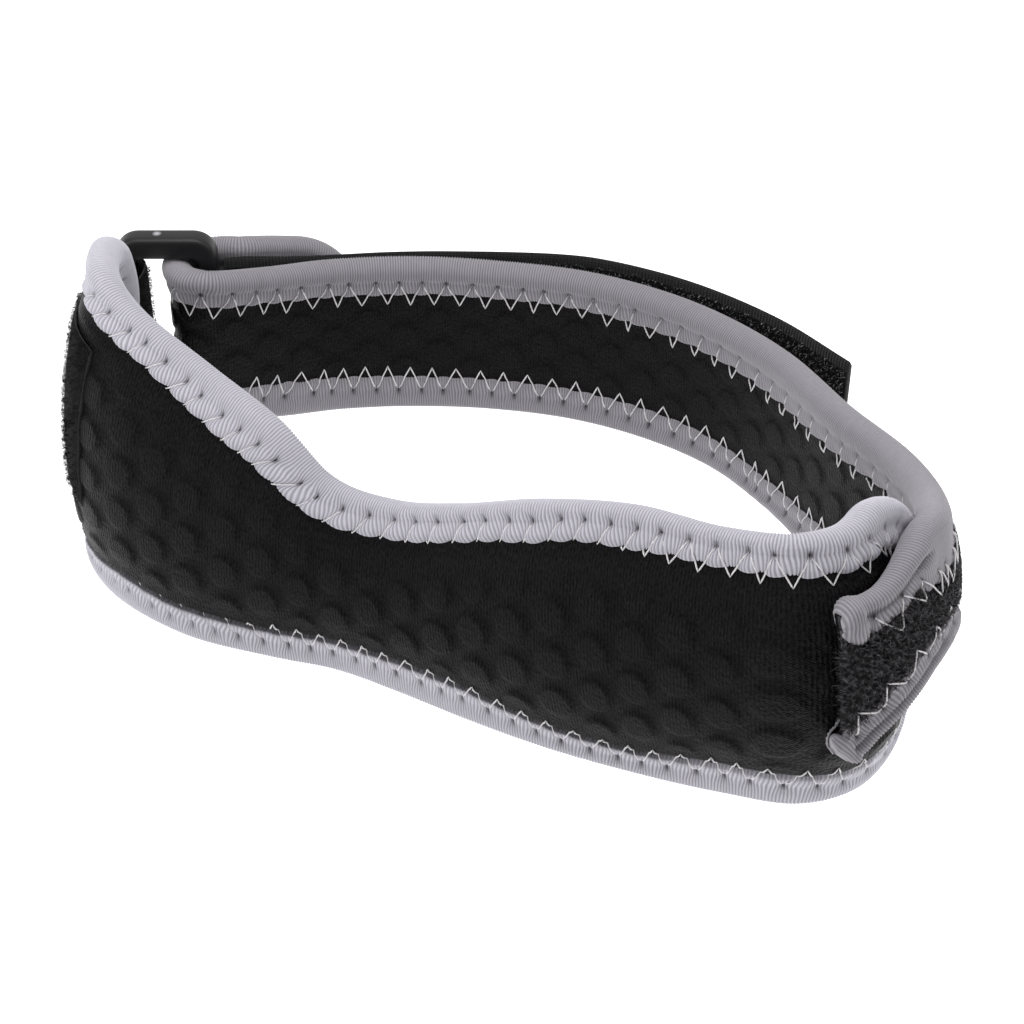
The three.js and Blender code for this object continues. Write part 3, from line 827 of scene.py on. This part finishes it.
# Edges and their tapes
def outline(wall, start, end, near_end, corner_steps=40, side_steps=600, end_steps=60):
    """A wall's outline as places a, b: the lower edge, the far end, the upper edge and the near end."""
    quarter = 1 - np.cos(np.linspace(0, np.pi / 2, corner_steps))
    far_quarter = 1 - np.cos(np.linspace(np.pi / 2, 0, corner_steps))
    a = np.concatenate([start * quarter if start else [0.0],
                        np.linspace(start, wall.length - end, side_steps)[1:-1],
                        wall.length - end * far_quarter])
    lower = corner_cut(wall, a, start, end)
    far_b = np.linspace(lower[-1], wall.height(wall.length) - lower[-1], end_steps)[1:-1]
    parts_a = [a, np.full(len(far_b), wall.length), a[::-1]]
    parts_b = [lower, far_b, (wall.height(a) - lower)[::-1]]
    if near_end:
        near_b = np.linspace(wall.height(0.0) - lower[0], lower[0], end_steps)[1:]
        parts_a.append(np.zeros(len(near_b)))
        parts_b.append(near_b)
    return np.concatenate(parts_a), np.concatenate(parts_b)


def along_edge(edge, lower, upper):
    """A value along an outline from tables of distance along the wall, for its lower and upper edges."""
    middle = edge.wall.height(edge.a) / 2
    low, high = table_at(edge.a, lower), table_at(edge.a, upper)
    value = low + (high - low) * smooth((edge.b - middle) / middle + 0.5)
    return lambda s: np.interp(s, edge.s, value)


def level(value):
    return lambda s: np.full_like(s, value)


def sewing(**given):
    """How a tape is sewn on one face.

    flap and scallop are its width and how that swings, needle and tip how far stitches reach in and out,
    single and lean where one leg shows and which, and across and near where the mesh has rows.
    """
    none = level(0)
    plain = {"seam": none, "single": none, "lean": level(1), "crease": none, "near": (0.66, 0.33, 0)}
    return {**plain, **given}


def tape_piece(name, tape, knit, node_name):
    points, depth, lift, shade, stations = tape.mesh()
    faces = quads(*points.shape[:2], wrap_rows=tape.ends is None)
    along = np.broadcast_to(stations[:, None], depth.shape)
    cloth = np.stack([along, depth + lift, np.zeros_like(depth)], -1)
    made = piece(name, points, faces, [knit], "knit_tape", cloth, shade)
    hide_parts(node_name)


# The front panel, with the width of its tape's outer flap at distances along its lower and upper edges
panel_half = PANEL_THICK / 2
LIP_HEIGHT = 0.7  # of the cloth's edge beside the tape
CLOTH_PROUD = 0.05  # how far the cloth stands off the solid under the tape
OUTER_SWELL, INNER_SWELL = 0.1, 0.5  # how far the padding swells
FRONT_LOWER_FLAP = [
    (0, 7), (27, 6.7), (37, 8.2), (50, 6.7), (68, 6.7), (84, 7.8), (114, 8.8), (134, 6.3), (150, 6.3),
    (165, 9), (177, 9.2), (186, 7.2), (211, 7),
]
FRONT_UPPER_FLAP = [
    (0, 6.4), (28, 6), (41, 5.4), (54, 6.8), (64, 7.7), (74, 7.4), (86, 6), (100, 5), (120, 4.9), (130, 5.8),
    (139, 5.1), (150, 5.7), (160, 4.7), (170, 4.5), (182, 5.3), (198, 6.6), (211, 6.6),
]


def panel_swell(a, b):
    """How far the panel's padding stands out past what the binding presses it to, from 0 to 1."""
    low = ease(b, start=table_at(a, FRONT_LOWER_FLAP), wide=5.0)
    high = ease(panel.height(a) - b, start=8.0, wide=6.0)
    ends = ease(np.minimum(a, panel.length - a), start=8.0, wide=5.0)
    return np.minimum(np.minimum(low, high), ends)


def panel_lip(a, b):
    """The cloth's edge beside the tape: it laps over the tape below, and starts past the tape above."""
    low = ease(b, start=table_at(a, FRONT_LOWER_FLAP) - 0.9, wide=0.9)
    high = ease(panel.height(a) - b, start=table_at(a, FRONT_UPPER_FLAP) + 0.2, wide=2.5)
    ends = ease(np.minimum(a, panel.length - a), start=7.2, wide=2.0)
    return np.minimum(np.minimum(low, high), ends)


def panel_outer(a, b):
    raised = (OUTER_SWELL + DISC_HEIGHT * discs(a, b)) * panel_swell(a, b)
    return panel_half + CLOTH_PROUD + LIP_HEIGHT * panel_lip(a, b) + raised


def panel_inner(a, b):
    return panel_half + CLOTH_PROUD + INNER_SWELL * panel_swell(a, b)


panel_columns, panel_shares = np.linspace(0, panel.length, 430), np.linspace(0, 1, 104)
points, faces, cloth, _ = padded_body(panel, panel_columns, panel_shares, WING_CORNER, WING_CORNER,
                                      panel_outer, panel_inner)
panel_piece = piece("front_panel_cloth", points, faces, [LAMINATE], "laminate", cloth)
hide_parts("front_panel")

# The front binding
panel_edge = Edge(panel, *outline(panel, WING_CORNER, WING_CORNER, True))
front_outer_flap = along_edge(panel_edge, FRONT_LOWER_FLAP, FRONT_UPPER_FLAP)
front_tip = along_edge(panel_edge, [(58, -0.3), (72, 1.3), (145, 1.6), (165, 2.4)], [(146, 0.2), (160, 1.6)])
# How dark the painted shadow under the cloth's lip is, along the lower edge
front_seam = along_edge(panel_edge, [(150, 0.9), (165, 0.3)], [(0, 0)])
front_single = along_edge(panel_edge, [(62, 1), (78, 0)], [(146, 1), (160, 0)])
front_lean = along_edge(panel_edge, [(0, -1)], [(0, 1)])
front_pull = along_edge(panel_edge, [(62, 0.85), (78, 0.45), (211, 0.4)], [(146, 0.6), (160, 0.4)])
front_outside = sewing(
    flap=front_outer_flap, needle=level(3.7), tip=front_tip, scallop=0.3, seam=front_seam, pull=front_pull,
    dark=0.95, single=front_single, lean=front_lean,
    across=(0.35, 0.8, 1.3, 1.8, 2.3, 2.75, 3.2, 3.65, 4.2, 5.2))
front_inside = sewing(
    flap=level(7), needle=level(3.4), tip=level(2.4), scallop=0.25, pull=level(0.3), dark=0.8,
    across=(0.4, 1.2, 2.2, 3.0, 3.4, 3.9, 5.0))
front_tape = Tape(panel_edge, panel_half, roll=2.2, pitch=5.1, faces=(front_outside, front_inside),
                  plump=level(1))
tape_piece("front_binding_tape", front_tape, FRONT_TAPE, "front_binding")
front_stitches = joined([zigzag(front_tape, 0, 1, panel_outer), zigzag(front_tape, 1, -1, panel_inner)])
piece("front_stitches", *front_stitches, [STITCH], "knit_tape", front_stitches[0])

# The back band
band_half = BAND_THICK / 2
BAND_PAST = 0.1  # how far the padding stands past the tab's end
BAND_BLUNT = 0.2  # how much further out the rounding of that end starts
BAND_SWELL = 0.2  # how far the padding swells on the inside
BAND_DISCS = 0.8  # share of the discs' height on the band
PILE_BED, PILE_HOLLOW = 0.1, 0.5  # how far the cloth under the pile is sunk, and more in its middle
PILE_TOP = 1.1  # how far the pile's top stands off the solid


def band_swell(a, b):
    return ease(band.from_edge(a, b), start=5.0, wide=5.0)


def band_end(a):
    """The band's cut end closes with its tape."""
    return np.sqrt(1 - (1 - np.clip((a + BAND_PAST + BAND_BLUNT) / CAP_CLOSE, 0, 1)) ** 2)


def band_outer(a, b):
    return (band_half - PILE_BED - PILE_HOLLOW * band_swell(a, b)) * band_end(a)


def band_pile_top(a, b):
    return band_half + PILE_TOP * ease(band.from_edge(a, b), start=4.0, wide=3.0)


def band_inner(a, b):
    raised = (BAND_SWELL + BAND_DISCS * DISC_HEIGHT * discs(a, b)) * band_swell(a, b)
    return (band_half + raised) * band_end(a)


band_columns = np.concatenate([np.linspace(-BAND_PAST, 0, 5)[:-1], np.linspace(0, band.length, 560)])
points, faces, cloth, side = padded_body(band, band_columns, np.linspace(0, 1, 56), 0, FLAP_CORNER,
                                         band_outer, band_inner)
band_piece = piece("back_band_cloth", points, faces, [LAMINATE, PILE], "laminate", cloth,
                   face_materials=(side > 0).astype(int))
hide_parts("back_band")

# The back binding
band_edge = Edge(band, *outline(band, 0, FLAP_CORNER, False))
band_outer_flap = along_edge(
    band_edge,
    [(0, 6), (16, 6.6), (26, 4.8), (34, 4.5), (60, 6)],
    [(0, 4.6), (14, 4.4), (18, 5), (21, 8.2), (30, 9.5), (40, 8), (60, 6)])
band_inner_flap = along_edge(
    band_edge,
    [(92, 5.6), (116, 4.6), (140, 5.8), (200, 6.2), (240, 7), (254, 6)],
    [(0, 7.6), (100, 8.2), (112, 8.2), (126, 7.4), (140, 6.9), (158, 6.4), (175, 6), (215, 6.2), (240, 5.3),
     (300, 6)])
tab_crease = along_edge(band_edge, [(24, 0.95), (27, 0)], [(22, 0.95), (25, 0)])
band_needle = along_edge(band_edge, [(0, 3.4)], [(0, 3.4), (60, 4.8), (150, 4.6), (175, 3.6), (300, 3.4)])
band_single = along_edge(band_edge, [(0, 0)], [(50, 0), (60, 1), (140, 1), (165, 0)])
tab_tip = along_edge(band_edge, [(60, 2.8), (80, 1.8)], [(0, 2), (300, 1.8)])
tab_plump = along_edge(
    band_edge,
    [(4, 0.8), (6, 0.55), (20, 0.55), (27, 1)],
    [(4, 1), (6, 0.5), (18, 0.55), (24, 1)])
band_outside = sewing(
    flap=band_outer_flap, needle=level(2.4), tip=tab_tip, scallop=0.3, pull=level(0.4), dark=0.8,
    crease=tab_crease, across=(0.35, 0.9, 1.5, 2.1, 2.6, 3.0, 3.5, 4.2),
    near=(0.75, 0.5, 0.38, 0.28, 0.19, 0.1, 0))
band_inside = sewing(
    flap=band_inner_flap, needle=band_needle, tip=level(2.6), scallop=0.2, pull=level(0.4), dark=0.9,
    single=band_single, lean=level(-1), across=(0.35, 0.9, 1.6, 2.3, 2.9, 3.4, 3.9, 4.6))
tape_ends = ({"long": 3.2, "deep": (2.6, 0)}, {"long": 4.2, "deep": (1.6, 0)})
band_tape = Tape(band_edge, band_half, roll=2.1, pitch=5.6, faces=(band_outside, band_inside),
                 plump=tab_plump, ends=tape_ends)
tape_piece("back_binding_tape", band_tape, SHADED_BACK_TAPE, "back_binding")
back_stitches = joined([zigzag(band_tape, 0, 1, band_pile_top), zigzag(band_tape, 1, -1, band_inner)])
piece("back_stitches", *back_stitches, [STITCH], "knit_tape", back_stitches[0])

# The band's pile, between its tapes, thicker on the tab and at its end
TAB_LONG = 55.0
FRAYED = 0.9  # length of the tab's end with more fibres
far = np.argmax(band_edge.a)


def band_pile_places(count, start, end, margin=0.9):
    a = rng.uniform(start, end, count)
    low = band_tape.width(0, np.interp(a, band_edge.a[:far], band_edge.s[:far])) + margin
    high = band_tape.width(0, np.interp(a, band_edge.a[:far:-1], band_edge.s[:far:-1])) + margin
    return a, low + rng.uniform(0, 1, count) * (band.height(a) - low - high)


pile_places = [
    band_pile_places(11000, 0, inner_layer.length),
    band_pile_places(15000, 0, TAB_LONG),
    band_pile_places(2500, -BAND_PAST, FRAYED),
]
a, b = (np.concatenate(column) for column in zip(*pile_places))
pile_points = fibres(band, a, b, 1, lift=band_half - 0.5, tall=1.7, reach=2.0, width=0.14)
piece("back_band_pile", *pile_points, [PILE], "strap_pile", pile_points[0], outward=False)

# The straps
HOOK_TOP = 0.94  # share of the hook strap's height that is hook bed
STRAP_FIBRES = 7000
HOOK_PITCH = 0.8
HOOK_START, HOOK_END_MARGIN = 0.6, 1  # distance of the hooks from the strap's ends
HOOK_LOW, HOOK_HIGH = 2.5, 33.9  # heights on the strap between which there are hooks
HOOK_WANDER = 0.2


def strap_body(wall, outer, inner, columns, rows, edge_wide=0.8, edge_least=0.05):
    round_off = lambda a, b: np.sqrt(np.clip(wall.from_edge(a, b) / edge_wide, edge_least, 1))
    face = lambda thick: lambda a, b: thick * round_off(a, b)
    a, shares = np.linspace(0, wall.length, columns), np.linspace(0, 1, rows)
    return padded_body(wall, a, shares, 0, 0, face(outer), face(inner))


points, faces, cloth, side = strap_body(hook, outer=0.9, inner=0.35, columns=200, rows=30)
hook_piece = piece("hook_strap_web", points, faces, [WEAVE, HOOK_BED], "strap_pile", cloth,
                   face_materials=((side < 0) & (side > -HOOK_TOP)).astype(int))
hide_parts("hook_strap")

points, faces, cloth, side = strap_body(pile, outer=0.3, inner=0.7, columns=120, rows=30)
ring_strap_piece = piece("ring_strap_web", points, faces, [WEAVE, STRAP_PILE], "strap_pile", cloth,
                         face_materials=(side > 0).astype(int))
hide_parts("ring_strap")
a = rng.uniform(0, pile.length, STRAP_FIBRES)
b = rng.uniform(0.01, 0.99, STRAP_FIBRES) * pile.height(a)
strap_pile = fibres(pile, a, b, 1, lift=0.1, tall=0.9, reach=1.0, width=0.11)
piece("ring_strap_pile", *strap_pile, [STRAP_PILE], "strap_pile", strap_pile[0], outward=False)

# Hooks on the strap's inner face, below a plain margin
hook_columns = np.arange(HOOK_START, hook.length - HOOK_END_MARGIN, HOOK_PITCH)
hook_heights = np.arange(HOOK_LOW, HOOK_HIGH, HOOK_PITCH)
a, b = (grid.ravel() for grid in np.meshgrid(hook_columns, hook_heights, indexing="ij"))
a = a + rng.uniform(-HOOK_WANDER, HOOK_WANDER, len(a))
b = b + rng.uniform(-HOOK_WANDER, HOOK_WANDER, len(b))
hook_points = fibres(hook, a, b, -1, lift=0.3, tall=0.95, reach=0.7, width=0.2)
piece("hook_strap_hooks", *hook_points, [HOOKS], "strap_pile", hook_points[0], outward=False)


# The ring: a rounded bar swept round a rounded rectangle
def ring_mesh(corner_steps=10, section=24, power=0.45):
    """Points and faces of the ring. The bar's section is a superellipse with this power."""
    half = np.array([RING["along"], RING["tall"]]) / 2
    slot = half - np.array([RING["upright"], RING["rail"]]) - RING["slot_corner"]
    outer, inner = [], []
    for turn, signs in enumerate(((1, 1), (-1, 1), (-1, -1), (1, -1))):
        for k in range(corner_steps):
            angle = math.pi / 2 * (turn + k / (corner_steps - 1))
            direction = np.array([math.cos(angle), math.sin(angle)])
            outer.append(signs * (half - RING["corner"]) + RING["corner"] * direction)
            inner.append(signs * slot + RING["slot_corner"] * direction)
    squared = lambda value: math.copysign(abs(value) ** power, value)
    angles = [2 * math.pi * (k + 0.5) / section for k in range(section)]
    points = []
    for out, into in zip(outer, inner):
        middle, reach = (out + into) / 2, (out - into) / 2
        for angle in angles:
            spot = middle + reach * squared(math.cos(angle))
            points.append((spot[0], squared(math.sin(angle)) * RING["thick"] / 2, spot[1]))
    points = np.array(points) + RING_PLACE + SHIFT
    return points, quads(len(outer), section, wrap_rows=True, wrap_columns=True)


ring_points, ring_faces = ring_mesh()
ring_piece = piece("ring_moulding", ring_points, ring_faces, [PLASTIC], "plastic")
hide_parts("ring")

# Floor, lights and camera
SKY_ABOVE, SKY_BEHIND, SKY_ALL = 0.35, 0.8, 0.05  # strength of the sky overhead, at the back, and all round
CAMERA_PLACE = np.array([3.505, -344.483, 283.204])
CAMERA_TILT = math.radians(52)  # up from straight down

floor_mesh = bpy.data.meshes.new("floor")
floor_mesh.from_pydata([(-3, -3, 0), (3, -3, 0), (3, 3, 0), (-3, 3, 0)], [], [(0, 1, 2, 3)])
floor = added("floor", floor_mesh)
floor_material, _ = material("pale_floor", (0.1, 0.1, 0.1), 0.8, Specular_IOR_Level=0.1,
                             Emission_Color=(1, 1, 1, 1), Emission_Strength=1.55)
floor_mesh.materials.append(floor_material)

world = bpy.data.worlds.new("studio")
world.use_nodes = True
backdrop = world.node_tree.nodes["Background"]
backdrop.inputs["Color"].default_value = (1, 1, 1, 1)
_, back, up = Value(world, node(world, "ShaderNodeTexCoord").outputs["Generated"]).split()
sky = up.above_zero() * SKY_ABOVE + back.above_zero() * SKY_BEHIND + SKY_ALL
sky.to(backdrop.inputs["Strength"])
bpy.context.scene.world = world


def area_light(name, place, target, size, power):
    data = bpy.data.lights.new(name, "AREA")
    data.size = size
    data.energy = power
    light = added(name, data)
    light.location = place
    aim = np.array(target) - np.array(place)
    yaw = math.atan2(aim[1], aim[0]) - math.pi / 2
    tilt = math.atan2(math.hypot(aim[0], aim[1]), -aim[2])
    light.rotation_euler = (tilt, 0, yaw)


area_light("key", (-0.04, -0.01, 0.33), target=(-0.01, -0.01, 0.03), size=0.22, power=0.65)
area_light("right", (0.28, -0.08, 0.26), target=(0.06, -0.04, 0.04), size=0.2, power=0.34)
area_light("left", (-0.3, -0.09, 0.2), target=(-0.07, 0, 0.04), size=0.2, power=0.42)

camera_data = bpy.data.cameras.new("camera")
camera_data.lens = 74.39
camera_data.sensor_width = 36
camera = added("camera", camera_data)
camera.location = (CAMERA_PLACE + SHIFT) / 1000
camera.rotation_euler = (CAMERA_TILT, 0, 0)
bpy.context.scene.camera = camera
bpy.context.scene.view_settings.view_transform = "Standard"
